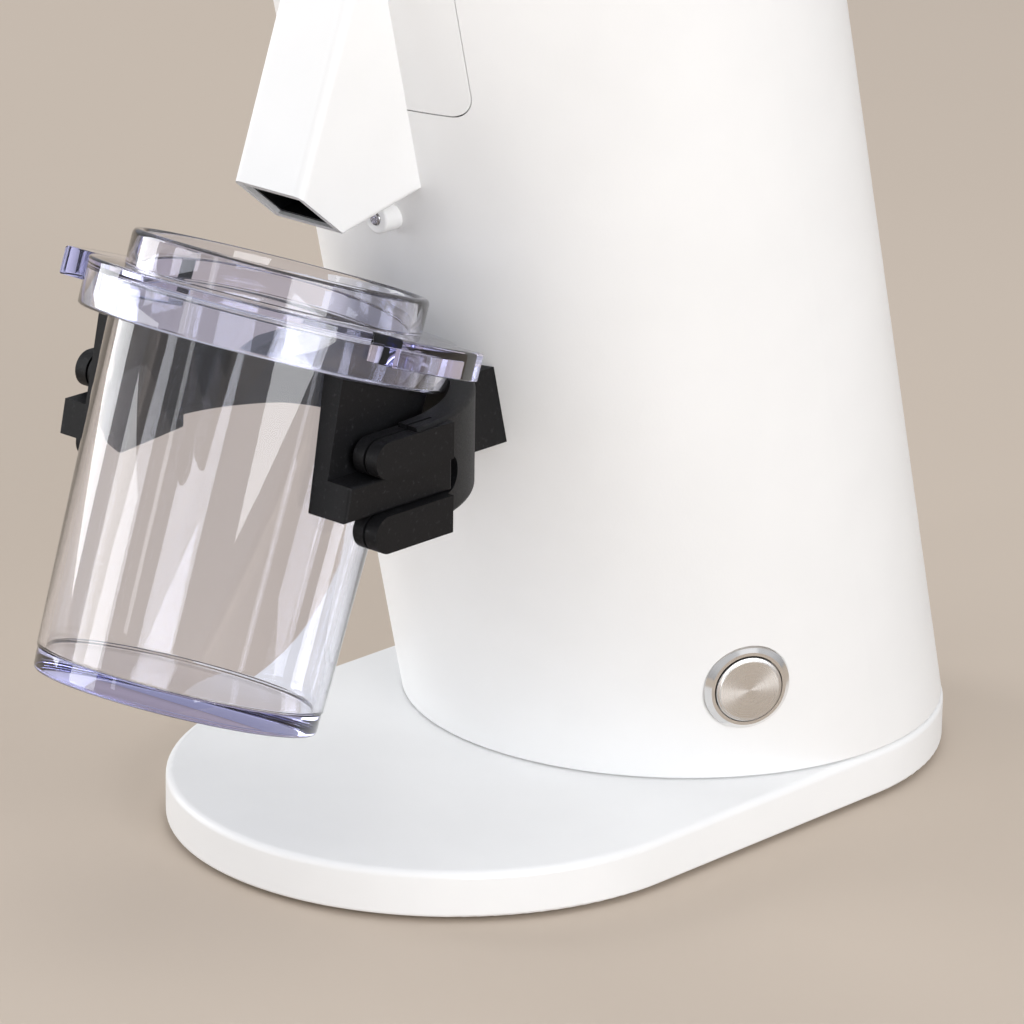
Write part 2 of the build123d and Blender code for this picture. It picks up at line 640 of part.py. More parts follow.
with BuildPart() as button_bezel:
    disc(button_plane(0), BEZEL_RADIUS, BEZEL_THICKNESS)
    rim = button_bezel.edges().sort_by(button_axis)[-1]
    chamfer(rim, length=BEZEL_BEVEL)
    disc(button_plane(-BARREL_LENGTH), BARREL_RADIUS, BARREL_LENGTH + 0.1)
    disc(button_plane(-SHOULDER_DEPTH), BEZEL_BORE, SHOULDER_DEPTH + BEZEL_THICKNESS + 1,
         mode=Mode.SUBTRACT)
    disc(button_plane(-BARREL_LENGTH - 1), 6.0, BARREL_LENGTH, mode=Mode.SUBTRACT)
finish(button_bezel, "button_bezel")

with BuildPart() as button_cap:
    disc(button_plane(-2.2), CAP_RADIUS, 2.2 + BEZEL_THICKNESS + CAP_PROUD)
    face_rim = button_cap.edges().sort_by(button_axis)[-1]
    chamfer(face_rim, length=0.5)
    disc(button_plane(-12.0), BUTTON_STEM, 10)
finish(button_cap, "button_cap")

SPRING_WIRE = 0.35
SPRING_RADIUS = 4.6
SPRING_LENGTH = 6.6
spring_foot = button_plane(-2.2 - SPRING_WIRE - SPRING_LENGTH)
with BuildPart() as button_spring:
    with BuildLine():
        coil = Helix(
            pitch=1.65, height=SPRING_LENGTH, radius=SPRING_RADIUS,
            center=spring_foot.origin, direction=spring_foot.z_dir,
        )
    with BuildSketch(Plane(origin=coil @ 0, z_dir=coil % 0)):
        Circle(SPRING_WIRE)
    sweep(is_frenet=True)
finish(button_spring, "button_spring")

with BuildPart() as button_nut:
    with BuildSketch(button_plane(-NUT_FACE - 3)):
        RegularPolygon(14.5, 6)
        Circle(BARREL_RADIUS + FIT, mode=Mode.SUBTRACT)
    extrude(amount=3)
finish(button_nut, "button_nut")

with BuildPart() as switch_body:
    disc(button_plane(-32), SWITCH_RADIUS, 32 - BARREL_LENGTH)
    studs(button_plane(-38), 5.0, 4, 0.9, 7)
finish(switch_body, "switch_body")

# ---------------------------------------------------------------- power inlet
SOCKET_WIDTH = 24.2
SOCKET_HEIGHT = 16.6
SOCKET_DEPTH = 15.0
INLET_BODY_DEPTH = 22.0
with BuildPart() as power_inlet:
    brick(inlet_plane(0), INLET_WIDTH, INLET_DEPTH, 2.6)
    fillet(power_inlet.edges().filter_by(Axis(inlet_plane(0).origin, inlet_plane(0).z_dir)), 2.0)
    brick(inlet_plane(-INLET_BODY_DEPTH), 27.2, 20.0, INLET_BODY_DEPTH + 0.1)
    with BuildSketch(inlet_plane(2.6 - SOCKET_DEPTH)) as socket:
        Rectangle(SOCKET_WIDTH, SOCKET_HEIGHT)
        chamfer(socket.vertices().group_by(Axis.Z)[-1], length=4.5)
    extrude(amount=SOCKET_DEPTH + 1, mode=Mode.SUBTRACT)
    for x, y in ((-7, 1.2), (0, -2.8), (7, 1.2)):
        brick(inlet_plane(-30), 4.1, 2.1, 30, at=(x, y), mode=Mode.SUBTRACT)
finish(power_inlet, "power_inlet")

with BuildPart() as inlet_pins:
    for x, y in ((-7, 1.2), (0, -2.8), (7, 1.2)):
        brick(inlet_plane(-28), 4.0, 2.0, 27, at=(x, y))
finish(inlet_pins, "inlet_pins")

# ---------------------------------------------------------------- control board
BOARD_HEIGHT = 24.0
BOARD_X = 26.0
BOARD_Y = 18.0
with BuildPart() as board_posts:
    with BuildSketch(Plane.XY.offset(BASE_TOP)):
        with Locations((0, -8)):
            with GridLocations(2 * BOARD_X, 2 * BOARD_Y, 2, 2):
                Circle(3.0)
    extrude(amount=BOARD_HEIGHT - BASE_TOP)
finish(board_posts, "board_posts")

with BuildPart() as control_board:
    with BuildSketch(Plane.XY.offset(BOARD_HEIGHT)):
        with Locations((0, -8)):
            RectangleRounded(2 * BOARD_X + 8, 2 * BOARD_Y + 8, 2)
    extrude(amount=1.6)
finish(control_board, "control_board")

with BuildPart() as board_parts:
    top = Plane.XY.offset(BOARD_HEIGHT + 1.6)
    brick(top, 16, 12, 8, at=(-16, -2))
    brick(top, 12, 10, 6, at=(2, -20))
    brick(top, 20, 5, 9, at=(4, 4))
    with BuildSketch(top) as cans:
        with Locations((16, -8), (-12, -20)):
            Circle(4.5)
    extrude(cans.sketch, amount=9.5)
finish(board_parts, "board_parts")

# ---------------------------------------------------------------- motor
MOTOR_FOOT = 58.0          # along the lean
MOTOR_TOP = MOTOR_LEDGE + LEDGE_THICKNESS
SHAFT_RADIUS = 4.0
BEARING_OUTER = 11.0
BEARING_WIDTH = 7.0
CORE_FOOT = 76.0
CORE_LENGTH = 44.0
CORE_OUTER = MOTOR_RADIUS - WALL
CORE_BORE = 24.0
ROTOR_RADIUS = 23.4
POLE_COUNT = 12
MOTOR_SCREW_CIRCLE = 30.0

with BuildPart() as motor_plate:
    disc(tower_plane(MOTOR_TOP), 67.0, 5.0, bore=16)
    studs(tower_plane(MOTOR_TOP), PLATE_SCREW_CIRCLE, 4, PLATE_SCREW + FIT, 5, 45, Mode.SUBTRACT)
    studs(tower_plane(MOTOR_TOP), MOTOR_SCREW_CIRCLE, 4, PLATE_SCREW + FIT, 5, 0, Mode.SUBTRACT)
    studs(tower_plane(MOTOR_TOP), 52, 4, 6.0, 5, 0, Mode.SUBTRACT)
finish(motor_plate, "motor_plate")

with BuildPart() as motor_can:
    disc(tower_plane(MOTOR_FOOT), MOTOR_RADIUS, MOTOR_TOP - MOTOR_FOOT, bore=CORE_OUTER)
    disc(tower_plane(MOTOR_TOP - 4), MOTOR_RADIUS, 4, bore=BEARING_OUTER)
    disc(tower_plane(MOTOR_TOP - 9), BEARING_OUTER + 3, 6, bore=BEARING_OUTER)
    studs(tower_plane(MOTOR_TOP - 4), MOTOR_SCREW_CIRCLE, 4, PLATE_SCREW + FIT, 4, 0,
          Mode.SUBTRACT)
finish(motor_can, "motor_can")

with BuildPart() as motor_end_cap:
    disc(tower_plane(MOTOR_FOOT - 5), MOTOR_RADIUS, 5, bore=BEARING_OUTER)
    disc(tower_plane(MOTOR_FOOT - 5), BEARING_OUTER + 3, 9, bore=BEARING_OUTER)
    studs(tower_plane(MOTOR_FOOT - 5), 31, 8, 6.0, 5, mode=Mode.SUBTRACT)
finish(motor_end_cap, "motor_end_cap")

with BuildPart() as motor_bearings:
    for foot in (MOTOR_FOOT - 4, MOTOR_TOP - 8):
        disc(tower_plane(foot), BEARING_OUTER, BEARING_WIDTH, bore=SHAFT_RADIUS + FIT)
finish(motor_bearings, "motor_bearings")

with BuildPart() as motor_stator:
    disc(tower_plane(CORE_FOOT), CORE_OUTER, CORE_LENGTH, bore=CORE_BORE)
    with BuildSketch(tower_plane(CORE_FOOT)) as slots:
        with PolarLocations(31, POLE_COUNT):
            SlotOverall(12, 6)
        with PolarLocations(25, POLE_COUNT):
            Rectangle(4, 2)
    extrude(slots.sketch, amount=CORE_LENGTH, mode=Mode.SUBTRACT)
finish(motor_stator, "motor_stator")

with BuildPart() as motor_windings:
    for foot in (CORE_FOOT - 8, CORE_FOOT + CORE_LENGTH):
        disc(tower_plane(foot), 38.0, 8, bore=CORE_BORE + 1)
    winding_edges = motor_windings.edges().filter_by(GeomType.CIRCLE)
    fillet(winding_edges, radius=2.5)
finish(motor_windings, "motor_windings")

with BuildPart() as motor_rotor:
    disc(tower_plane(CORE_FOOT), ROTOR_RADIUS, CORE_LENGTH, bore=SHAFT_RADIUS)
    studs(tower_plane(CORE_FOOT), ROTOR_RADIUS, POLE_COUNT, 0.8, CORE_LENGTH, mode=Mode.SUBTRACT)
finish(motor_rotor, "motor_rotor")

FAN_FOOT = 43.0
COUPLING_FOOT = 153.0
with BuildPart() as motor_shaft:
    disc(tower_plane(FAN_FOOT - 2), SHAFT_RADIUS, COUPLING_FOOT + 9 - FAN_FOOT + 2)
finish(motor_shaft, "motor_shaft")

with BuildPart() as cooling_fan:
    disc(tower_plane(FAN_FOOT), 9.0, 8, bore=SHAFT_RADIUS)
    disc(tower_plane(FAN_FOOT), 33.0, 1.2, bore=SHAFT_RADIUS)
    with BuildSketch(tower_plane(FAN_FOOT)) as blades:
        with PolarLocations(20, 9):
            Rectangle(25, 1.2, rotation=20)
    extrude(blades.sketch, amount=7)
finish(cooling_fan, "cooling_fan")

# ---------------------------------------------------------------- burr drive
COUPLING_RADIUS = 13.0
BURR_SHAFT_RADIUS = 6.0
BURR_SHAFT_FOOT = COUPLING_FOOT + 15
FLOOR_FOOT = CHAMBER_LEDGE + LEDGE_THICKNESS
SHAFT_BEARING_OUTER = 14.0
SHAFT_BEARING_WIDTH = 8.0
HUB_FOOT = 180.0
CARRIER_FOOT = 213.0
CARRIER_THICKNESS = 8.0
BURR_THICKNESS = 8.0
BURR_GAP = 1.0
LOWER_BURR_FOOT = CARRIER_FOOT + CARRIER_THICKNESS
UPPER_BURR_FOOT = LOWER_BURR_FOOT + BURR_THICKNESS + BURR_GAP
UPPER_CARRIER_FOOT = UPPER_BURR_FOOT + BURR_THICKNESS

with BuildPart() as shaft_coupling:
    disc(tower_plane(COUPLING_FOOT), COUPLING_RADIUS, 9, bore=SHAFT_RADIUS)
    studs(tower_plane(COUPLING_FOOT + 9), 9.5, 2, 2.6, 5.5)
    disc(tower_plane(BURR_SHAFT_FOOT), COUPLING_RADIUS, 9, bore=BURR_SHAFT_RADIUS)
    studs(tower_plane(BURR_SHAFT_FOOT - 5.5), 9.5, 2, 2.6, 5.5, start=90)
finish(shaft_coupling, "shaft_coupling")

with BuildPart() as coupling_spider:
    disc(tower_plane(COUPLING_FOOT + 9.2), COUPLING_RADIUS - 0.5, 5.6)
    studs(tower_plane(COUPLING_FOOT + 9), 9.5, 4, 2.7, 6, mode=Mode.SUBTRACT)
finish(coupling_spider, "coupling_spider")

with BuildPart() as burr_shaft:
    disc(tower_plane(BURR_SHAFT_FOOT), BURR_SHAFT_RADIUS, LOWER_BURR_FOOT - BURR_SHAFT_FOOT)
    disc(tower_plane(LOWER_BURR_FOOT), 4.0, 7)
finish(burr_shaft, "burr_shaft")

with BuildPart() as shaft_bearings:
    for foot in (HUB_FOOT + 1, FLOOR_FOOT - SHAFT_BEARING_WIDTH - 1):
        disc(tower_plane(foot), SHAFT_BEARING_OUTER, SHAFT_BEARING_WIDTH,
             bore=BURR_SHAFT_RADIUS + FIT)
finish(shaft_bearings, "shaft_bearings")

spacer_foot = HUB_FOOT + 1 + SHAFT_BEARING_WIDTH
with BuildPart() as bearing_spacer:
    disc(tower_plane(spacer_foot), SHAFT_BEARING_OUTER - 0.1,
         FLOOR_FOOT - 2 * SHAFT_BEARING_WIDTH - 2 - HUB_FOOT, bore=11)
finish(bearing_spacer, "bearing_spacer")

# ---------------------------------------------------------------- grinding chamber
FLOOR_THICKNESS = 5.0
CHAMBER_BORE = 50.0
CHAMBER_TOP = 262.0
NOZZLE_REACH = 67.9
with BuildPart() as chamber_body:
    disc(tower_plane(HUB_FOOT), 20, FLOOR_FOOT - HUB_FOOT, bore=SHAFT_BEARING_OUTER)
    disc(tower_plane(FLOOR_FOOT), 66, FLOOR_THICKNESS, bore=7.5)
    disc(tower_plane(FLOOR_FOOT), CHAMBER_BORE + 4, CHAMBER_TOP - FLOOR_FOOT, bore=CHAMBER_BORE)
    front = Vector(0, -LEAN_COS, -LEAN_SIN)
    nozzle_plane = Plane(
        origin=tower_plane((WINDOW_FOOT + WINDOW_TOP) / 2).origin + front * (CHAMBER_BORE + 2),
        x_dir=(1, 0, 0),
        z_dir=front,
    )
    brick(nozzle_plane, 2 * WINDOW_HALF_WIDTH + 4, WINDOW_TOP - WINDOW_FOOT + 4,
          NOZZLE_REACH - CHAMBER_BORE - 2)
    disc(tower_plane(FLOOR_FOOT + FLOOR_THICKNESS), CHAMBER_BORE, 60, mode=Mode.SUBTRACT)
    chute_window(30, 80)
    studs(tower_plane(FLOOR_FOOT), PLATE_SCREW_CIRCLE, 4, PLATE_SCREW + FIT, 5, 45, Mode.SUBTRACT)
finish(chamber_body, "chamber_body")

with BuildPart() as chassis_screws:
    for seat, circle, start in (
        (MOTOR_TOP + 5, PLATE_SCREW_CIRCLE, 45), (MOTOR_TOP + 5, MOTOR_SCREW_CIRCLE, 0),
        (FLOOR_FOOT + FLOOR_THICKNESS, PLATE_SCREW_CIRCLE, 45),
    ):
        studs(tower_plane(seat), circle, 4, 3.8, 3, start)
        studs(tower_plane(seat - 10), circle, 4, PLATE_SCREW, 11, start)
    studs(tower_plane(TOWER_LENGTH - 2.4), DECK_SCREW_CIRCLE, 4, DECK_SCREW_HEAD, 2, 45)
    studs(tower_plane(DECK_LEDGE + 2), DECK_SCREW_CIRCLE, 4, PLATE_SCREW, 9, 45)
finish(chassis_screws, "chassis_screws")

BURR_SCREW = 2.0
BURR_SCREW_CIRCLE = 24.0
with BuildPart() as lower_burr_carrier:
    disc(tower_plane(CARRIER_FOOT), 36, CARRIER_THICKNESS, bore=BURR_SHAFT_RADIUS)
    with BuildSketch(tower_plane(CARRIER_FOOT)) as sweepers:
        with PolarLocations(41, 3):
            Rectangle(13, 3)
    extrude(sweepers.sketch, amount=6)
    studs(tower_plane(CARRIER_FOOT + 2), BURR_SCREW_CIRCLE, 3, BURR_SCREW + FIT, 10, 30,
          Mode.SUBTRACT)
finish(lower_burr_carrier, "lower_burr_carrier")


def burr(back, face, into_face):
    """Flat ring burr whose slanted teeth are cut into the face towards its partner."""
    disc(tower_plane(min(back, face)), BURR_RADIUS, BURR_THICKNESS, bore=BURR_BORE)
    with BuildSketch(tower_plane(face)) as teeth:
        with PolarLocations(25, TOOTH_COUNT):
            Rectangle(20, 2.2, rotation=28)
    extrude(teeth.sketch, amount=1.4 * into_face, mode=Mode.SUBTRACT)
    studs(tower_plane(min(back, face)), BURR_SCREW_CIRCLE, 3, BURR_SCREW + FIT,
          BURR_THICKNESS, 30, Mode.SUBTRACT)
    sink = face + into_face * 3.5
    studs(tower_plane(min(face, sink)), BURR_SCREW_CIRCLE, 3, 3.6, 3.5, 30, Mode.SUBTRACT)


with BuildPart() as lower_burr:
    burr(LOWER_BURR_FOOT, LOWER_BURR_FOOT + BURR_THICKNESS, -1)
finish(lower_burr, "lower_burr")

with BuildPart() as upper_burr:
    burr(UPPER_BURR_FOOT + BURR_THICKNESS, UPPER_BURR_FOOT, 1)
finish(upper_burr, "upper_burr")

with BuildPart() as lower_burr_screws:
    studs(tower_plane(CARRIER_FOOT + 2.5), BURR_SCREW_CIRCLE, 3, BURR_SCREW, 12, 30)
    studs(tower_plane(LOWER_BURR_FOOT + 4.5), BURR_SCREW_CIRCLE, 3, 3.5, 2, 30)
finish(lower_burr_screws, "lower_burr_screws")

with BuildPart() as upper_burr_screws:
    studs(tower_plane(UPPER_BURR_FOOT + 1.5), BURR_SCREW_CIRCLE, 3, 3.5, 2, 30)
    studs(tower_plane(UPPER_BURR_FOOT + 1.5), BURR_SCREW_CIRCLE, 3, BURR_SCREW, 12, 30)
finish(upper_burr_screws, "upper_burr_screws")

with BuildPart() as carrier_nut:
    with BuildSketch(tower_plane(LOWER_BURR_FOOT + 0.1)):
        RegularPolygon(8.5, 6)
        Circle(4.0, mode=Mode.SUBTRACT)
    extrude(amount=4.5)
finish(carrier_nut, "carrier_nut")

# ---------------------------------------------------------------- adjustment and top
DECK_FOOT = DECK_LEDGE + LEDGE_THICKNESS
DIAL_FOOT = TOWER_LENGTH + 0.8
DIAL_HEIGHT = 20.0
DIAL_RADIUS = 70.5
DIAL_BORE = 58.0
SLEEVE_RADIUS = 34.0
SLEEVE_BORE = 29.0
SLEEVE_TOP = 304.0
THROAT = 17.5
KNURL_COUNT = 48
THREAD_CLEARANCE = 0.3

with BuildPart() as upper_burr_carrier:
    disc(tower_plane(UPPER_CARRIER_FOOT), CHAMBER_BORE - THREAD_CLEARANCE, 12, bore=THROAT)
    disc(tower_plane(UPPER_CARRIER_FOOT + 12), SLEEVE_RADIUS,
         SLEEVE_TOP - UPPER_CARRIER_FOOT - 12, bore=SLEEVE_BORE)
    studs(tower_plane(UPPER_CARRIER_FOOT), BURR_SCREW_CIRCLE, 3, BURR_SCREW + FIT, 8, 30,
          Mode.SUBTRACT)
    with BuildSketch(tower_plane(TOWER_LENGTH - 8)) as keyways:
        with PolarLocations(SLEEVE_RADIUS, 3):
            Rectangle(5, 6)
    extrude(keyways.sketch, amount=20, mode=Mode.SUBTRACT)
finish(upper_burr_carrier, "upper_burr_carrier")

with BuildPart() as deck_ring:
    disc(tower_plane(DECK_FOOT), 68.4, TOWER_LENGTH - DECK_FOOT, bore=40)
    studs(tower_plane(DECK_FOOT), DECK_SCREW_CIRCLE, 4, PLATE_SCREW + FIT, 10, 45, Mode.SUBTRACT)
    studs(tower_plane(TOWER_LENGTH - 2.5), DECK_SCREW_CIRCLE, 4, DECK_SCREW_HEAD + 0.2, 5, 45,
          Mode.SUBTRACT)
finish(deck_ring, "deck_ring")

tower_axis = Axis(tower_plane(0).origin, tower_plane(0).z_dir)
section_plane = Plane(
    origin=tower_plane(0).origin, x_dir=(1, 0, 0), z_dir=(0, -LEAN_COS, -LEAN_SIN)
)

with BuildPart() as dial:
    disc(tower_plane(DIAL_FOOT), DIAL_RADIUS, DIAL_HEIGHT, bore=DIAL_BORE)
    rims = dial.edges().filter_by(GeomType.CIRCLE).filter_by(lambda edge: edge.radius > 69)
    chamfer(rims, length=1.2)
    studs(tower_plane(DIAL_FOOT - 1), DIAL_RADIUS + 0.6, KNURL_COUNT, 1.4, DIAL_HEIGHT * 0.6,
          mode=Mode.SUBTRACT)
    disc(tower_plane(DIAL_FOOT), DIAL_BORE + 0.5, 4, bore=SLEEVE_RADIUS + GAP)
    with BuildSketch(tower_plane(DIAL_FOOT)) as keys:
        with PolarLocations(SLEEVE_RADIUS, 3):
            Rectangle(4.2, 5.2)
    extrude(keys.sketch, amount=4)
    disc(tower_plane(DIAL_FOOT - 1), SLEEVE_RADIUS - 2.1, 6, mode=Mode.SUBTRACT)
finish(dial, "dial")

HOPPER_TOP = 358.0
HOPPER_RADIUS = 63.0
HOPPER_WALL = 2.2
HOPPER_SEAT = DIAL_FOOT + DIAL_HEIGHT
THROAT_END = UPPER_CARRIER_FOOT + 14
THROAT_TOP = 308.0
THROAT_BORE = 14.8
THROAT_RADIUS = 17.0
with BuildPart() as hopper_throat:
    disc(tower_plane(THROAT_END), THROAT_RADIUS, THROAT_TOP - THROAT_END, bore=THROAT_BORE)
finish(hopper_throat, "hopper_throat")

with BuildPart() as hopper:
    with BuildSketch(section_plane) as hopper_profile:
        with BuildLine():
            Polyline(
                (THROAT_BORE, THROAT_TOP), (THROAT_RADIUS, THROAT_TOP), (44, HOPPER_SEAT + 0.2),
                (68, HOPPER_SEAT + 0.2), (68, HOPPER_SEAT + 3), (HOPPER_RADIUS, HOPPER_SEAT + 3),
                (HOPPER_RADIUS, HOPPER_TOP), (HOPPER_RADIUS - HOPPER_WALL, HOPPER_TOP),
                (HOPPER_RADIUS - HOPPER_WALL, 334), (THROAT_BORE, THROAT_TOP + 1.5),
                (THROAT_BORE, THROAT_TOP),
            )
        make_face()
    revolve(hopper_profile.sketch, axis=tower_axis)
finish(hopper, "hopper")

LID_RADIUS = 65.5
with BuildPart() as lid:
    disc(tower_plane(HOPPER_TOP + 0.3), LID_RADIUS, 6)
    top_edge = lid.edges().filter_by(GeomType.CIRCLE).sort_by(tower_axis)[-1]
    fillet(top_edge, radius=2.5)
    disc(tower_plane(HOPPER_TOP - 7), HOPPER_RADIUS - HOPPER_WALL - 2.2, 8, bore=54)
finish(lid, "lid")

with BuildPart() as lid_seal:
    disc(tower_plane(HOPPER_TOP - 5), HOPPER_RADIUS - HOPPER_WALL - GAP, 3,
         bore=HOPPER_RADIUS - HOPPER_WALL - 2.2)
finish(lid_seal, "lid_seal")

with BuildPart() as lid_knob:
    disc(tower_plane(HOPPER_TOP + 6.3), 8, 5)
    disc(tower_plane(HOPPER_TOP + 11.3), 13, 7)
    knob_edges = lid_knob.edges().filter_by(GeomType.CIRCLE).filter_by(
        lambda edge: edge.radius > 12)
    fillet(knob_edges, radius=1.5)
finish(lid_knob, "lid_knob")
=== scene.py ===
import json
from math import asin, atan, cos, pi, radians, sin, tan

import bmesh
import bpy
from mathutils import Matrix, Vector


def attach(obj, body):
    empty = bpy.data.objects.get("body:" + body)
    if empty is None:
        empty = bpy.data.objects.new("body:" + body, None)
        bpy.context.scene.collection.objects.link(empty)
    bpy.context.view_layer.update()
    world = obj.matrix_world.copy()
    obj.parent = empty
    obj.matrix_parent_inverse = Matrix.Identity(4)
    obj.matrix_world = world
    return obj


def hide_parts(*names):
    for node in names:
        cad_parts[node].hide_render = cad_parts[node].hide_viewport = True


# Burr coffee grinder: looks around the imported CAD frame, in the CAD's own axes.
# Places are in metres; sizes named below without a unit are millimetres, as in the design.

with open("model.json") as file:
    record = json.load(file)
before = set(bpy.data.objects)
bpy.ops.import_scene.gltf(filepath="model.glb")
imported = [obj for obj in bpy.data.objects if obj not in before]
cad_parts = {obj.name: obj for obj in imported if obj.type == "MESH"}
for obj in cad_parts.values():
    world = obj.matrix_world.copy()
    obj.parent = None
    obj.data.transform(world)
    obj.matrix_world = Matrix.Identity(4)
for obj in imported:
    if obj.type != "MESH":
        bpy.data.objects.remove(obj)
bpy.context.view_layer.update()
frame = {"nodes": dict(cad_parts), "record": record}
nodes = frame["nodes"]
MM = 0.001

# ---------------------------------------------------------------- places taken from the design
TOWER_LEAN = 0.25                           # forward shift per unit of height
BASE_TOP = 14.0
TOWER_RADIUS = 74.5
LEAN_ANGLE = atan(TOWER_LEAN)
LEAN_AXIS = Vector((0, -sin(LEAN_ANGLE), cos(LEAN_ANGLE)))
TOWER_FOOT = Vector((0, 0, BASE_TOP)) * MM  # where the leaning axis meets the base's top

CUP_TILT = radians(19.68)
CUP_AXIS = Vector((0, sin(CUP_TILT), cos(CUP_TILT)))
CUP_FOOT = Vector((0, -191.1, 59.35)) * MM

BUTTON_ANGLE = radians(-30.1)
BUTTON_DROP = radians(3.5)
BUTTON_AXIS = Vector((
    cos(BUTTON_ANGLE) * cos(BUTTON_DROP), sin(BUTTON_ANGLE) * cos(BUTTON_DROP), -sin(BUTTON_DROP),
))
BUTTON_HEIGHT = 41.0
BUTTON_CENTRE = Vector((
    TOWER_RADIUS * cos(BUTTON_ANGLE),
    TOWER_RADIUS * sin(BUTTON_ANGLE) - TOWER_LEAN * (BUTTON_HEIGHT - BASE_TOP),
    BUTTON_HEIGHT,
)) * MM
BUTTON_SEAT = BUTTON_CENTRE - BUTTON_AXIS * 0.9 * MM
CAP_RADIUS = 9.05
CAP_TOP = 3.1
CAP_SHOULDER = -2.2
CAP_STEM_RADIUS = 3.5
CAP_STEM_END = -12.0

CUP_DRAFT = 0.026
CUP_FOOT_RADIUS = 36.9
CUP_FLOOR = 6.0
CUP_RIM = 100.9
CUP_WALL = 2.2
JOINT_GAP = 0.25

RING_FOOT = 91.7
RING_UNDERSIDE = 101.3
RING_SHOULDER = 104.3
RING_TOP = 113.6
RING_BORE = 35.3
COLLAR_RADIUS = 38.3
LIP_INNER = 39.87
LIP_OUTER = 41.9
SKIRT_INNER = 44.5
SKIRT_RADIUS = 47.5
EAR_FOOT = 97.0
EAR_RADIUS = 56.0
EAR_HALF_WIDTH = 18.4
EAR_TURN = radians(8)

DIAL_FOOT = 300.8
DIAL_HEIGHT = 20.0
DIAL_RADIUS = 70.5


# ---------------------------------------------------------------- material building blocks
class Look:
    """A node material under construction: one shader and the textures that feed it."""

    def __init__(self, name, colour, roughness, metallic=0.0, **sockets):
        self.material = bpy.data.materials.new(name)
        self.material.use_nodes = True
        self.tree = self.material.node_tree
        self.shader = self.tree.nodes["Principled BSDF"]
        self.set("Base Color", (*colour, 1.0))
        self.set("Roughness", roughness)
        self.set("Metallic", metallic)
        for socket, value in sockets.items():
            self.set(socket.replace("_", " "), value)
        self.place = self.add("ShaderNodeTexCoord").outputs["Object"]

    def set(self, socket, value):
        self.shader.inputs[socket].default_value = value

    def add(self, kind, **settings):
        """A new node; settings are its properties."""
        node = self.tree.nodes.new(kind)
        for key, value in settings.items():
            setattr(node, key, value)
        return node

    def link(self, source, target):
        self.tree.links.new(source, target)

    def noise(self, scale, detail=3.0, roughness=0.55, place=None):
        """Grey noise; scale is in cells per metre."""
        node = self.add("ShaderNodeTexNoise")
        node.inputs["Scale"].default_value = scale
        node.inputs["Detail"].default_value = detail
        node.inputs["Roughness"].default_value = roughness
        self.link(place or self.place, node.inputs["Vector"])
        return node.outputs["Fac"]

    def remap(self, value, low, high, start=0.3, end=0.7):
        """value from start..end stretched to low..high."""
        node = self.add("ShaderNodeMapRange")
        node.inputs["From Min"].default_value = start
        node.inputs["From Max"].default_value = end
        node.inputs["To Min"].default_value = low
        node.inputs["To Max"].default_value = high
        self.link(value, node.inputs["Value"])
        return node.outputs["Result"]

    def tint(self, value, dark, light, start=0.3, end=0.7):
        """Base colour that wanders from dark to light with value."""
        ramp = self.add("ShaderNodeValToRGB")
        ramp.color_ramp.elements[0].position = start
        ramp.color_ramp.elements[0].color = (*dark, 1.0)
        ramp.color_ramp.elements[1].position = end
        ramp.color_ramp.elements[1].color = (*light, 1.0)
        self.link(value, ramp.inputs["Fac"])
        self.link(ramp.outputs["Color"], self.shader.inputs["Base Color"])

    def rough(self, value, low, high, start=0.3, end=0.7):
        self.link(self.remap(value, low, high, start, end), self.shader.inputs["Roughness"])

    def bump(self, *layers):
        """Stack of bump layers, each (height, depth in metres, strength)."""
        normal = None
        for height, depth, strength in layers:
            node = self.add("ShaderNodeBump")
            node.inputs["Distance"].default_value = depth
            node.inputs["Strength"].default_value = strength
            self.link(height, node.inputs["Height"])
            if normal:
                self.link(normal, node.inputs["Normal"])
            normal = node.outputs["Normal"]
        self.link(normal, self.shader.inputs["Normal"])

    def vector(self, operation, first, second=None):
        """Vector arithmetic on sockets or fixed vectors."""
        node = self.add("ShaderNodeVectorMath", operation=operation)
        for socket, value in zip(node.inputs, (first, second)):
            if value is None:
                continue
            if isinstance(value, (Vector, tuple)):
                socket.default_value = value
            else:
                self.link(value, socket)
        return node

    def about_axis(self, centre, axis):
        """Tangent direction round an axis, and the distance from it."""
        arm = self.vector("SUBTRACT", self.place, centre).outputs["Vector"]
        along = self.vector("PROJECT", arm, axis).outputs["Vector"]
        flat = self.vector("SUBTRACT", arm, along).outputs["Vector"]
        tangent = self.vector("CROSS_PRODUCT", flat, axis).outputs["Vector"]
        tangent = self.vector("NORMALIZE", tangent).outputs["Vector"]
        radius = self.vector("LENGTH", flat).outputs["Value"]
        return tangent, radius

    def rings(self, radius, per_metre):
        """Turning marks: noise that changes with the radius only."""
        line = self.add("ShaderNodeCombineXYZ")
        self.link(radius, line.inputs["X"])
        return self.noise(per_metre, detail=2.0, place=line.outputs["Vector"])


# ---------------------------------------------------------------- materials
def powder_coat():
    """Satin white coat with a fine orange-peel grain."""
    look = Look("powder_coat", (0.84, 0.84, 0.835), 0.42)
    grain = look.noise(1500, 2.0)
    peel = look.noise(420, 2.0)
    cloud = look.noise(18, 3.0)
    look.tint(cloud, (0.82, 0.82, 0.815), (0.86, 0.86, 0.855))
    look.rough(grain, 0.38, 0.52)
    look.bump((peel, 0.00004, 0.5), (grain, 0.00003, 0.6))
    return look.material


